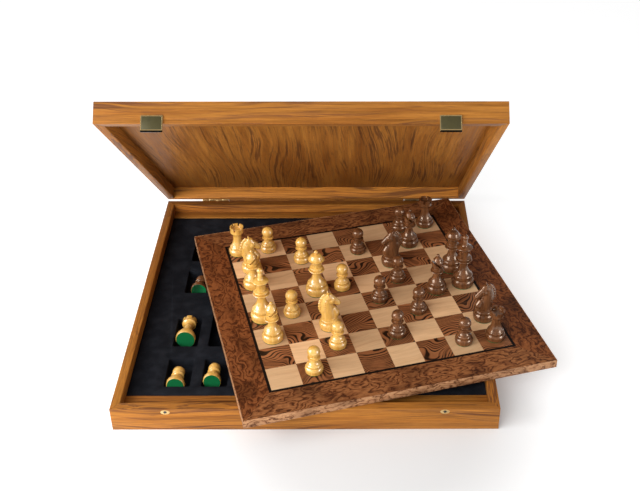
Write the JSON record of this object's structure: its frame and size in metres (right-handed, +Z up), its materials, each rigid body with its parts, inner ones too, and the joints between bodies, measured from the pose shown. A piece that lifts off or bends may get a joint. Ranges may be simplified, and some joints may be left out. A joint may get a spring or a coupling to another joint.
{
  "type": "chess box with hinged lid",
  "caption": "Flat square wooden chess box with a hinged magnetic lid, foam pockets for the men, and a loose veneered board set out with chessmen across its rim.",
  "frame": {"origin": "centre of the underside of the base", "axes": "+X to the right along the front, +Y towards the hinges at the back, +Z up"},
  "size_m": [0.5497, 0.5216, 0.3724],
  "materials": {
    "walnut_veneer": "satin lacquered walnut veneer with dark streaks",
    "floor_board": "plain plywood",
    "foam": "matt closed-cell foam",
    "brass": "polished pale brass",
    "magnet_steel": "dark steel",
    "dark_face": "dark olive lacquer, bare",
    "burl": "lacquered burl veneer",
    "burl_edge": "speckled burl edge banding",
    "black_stringing": "black dyed stringing",
    "light_square": "light veneer with fine grain",
    "dark_square": "figured walnut veneer",
    "boxwood": "glossy boxwood",
    "rosewood": "glossy rosewood",
    "green_felt": "green baize"
  },
  "bodies": {
    "base": {"base_front_rail": "walnut_veneer", "base_rear_rail": "walnut_veneer", "base_left_rail": "walnut_veneer", "base_right_rail": "walnut_veneer", "base_floor_panel": "floor_board", "front_ledge_strip": "walnut_veneer", "rear_ledge_strip": "walnut_veneer", "foam_insert": "foam", "rear_bead": "walnut_veneer", "strike_rings": "brass", "strike_magnets": "magnet_steel", "left_hinge_base_leaf": "brass", "right_hinge_base_leaf": "brass", "base_hinge_screws": "brass", "stored_light_rook": "boxwood", "stored_light_pawns": "boxwood", "stored_dark_pawn": "rosewood", "stored_felts": "green_felt"},
    "hinge_pins": {"left_hinge_pin": "brass", "right_hinge_pin": "brass"},
    "lid": {"lid_front_rail": "walnut_veneer", "lid_rear_rail": "walnut_veneer", "lid_left_rail": "walnut_veneer", "lid_right_rail": "walnut_veneer", "lid_top_panel": "walnut_veneer", "left_hinge_lid_leaf": "brass", "right_hinge_lid_leaf": "brass", "lid_hinge_screws": "brass", "catch_plates": "brass", "catch_faces": "dark_face", "catch_keepers": "magnet_steel", "catch_nails": "brass"},
    "playing_board": {"board_core": "floor_board", "board_front_border": "burl", "board_rear_border": "burl", "board_left_border": "burl", "board_right_border": "burl", "board_stringing": "black_stringing", "light_squares": "light_square", "dark_squares": "dark_square", "board_front_banding": "burl_edge", "board_rear_banding": "burl_edge", "board_left_banding": "burl_edge", "board_right_banding": "burl_edge", "light_pawns": "boxwood", "light_rook": "boxwood", "light_knights": "boxwood", "light_bishops": "boxwood", "light_queen": "boxwood", "light_king": "boxwood", "dark_pawns": "rosewood", "dark_rooks": "rosewood", "dark_knights": "rosewood", "dark_bishops": "rosewood", "dark_queen": "rosewood", "dark_king": "rosewood", "light_felts": "green_felt", "dark_felts": "green_felt"}
  },
  "joints": [
    {"name": "lid_close", "type": "hinge", "parent": "base", "child": "hinge_pins", "pos_m": [0, 0.2382, 0.034], "axis": [-1, 0, 0], "range_deg": [-42.4, 0]},
    {"name": "lid_open", "type": "hinge", "parent": "hinge_pins", "child": "lid", "pos_m": [0, 0.2382, 0.034], "axis": [-1, 0, 0], "range_deg": [0, 52.6]},
    {"name": "board_take_off", "type": "slide", "parent": "base", "child": "playing_board", "axis": [0, -1, 0], "range_m": [0, 0.51]}
  ],
  "couplings": [
    {"joint": "board_take_off", "follows": "lid_close", "m_per_rad": -0.68}
  ]
}
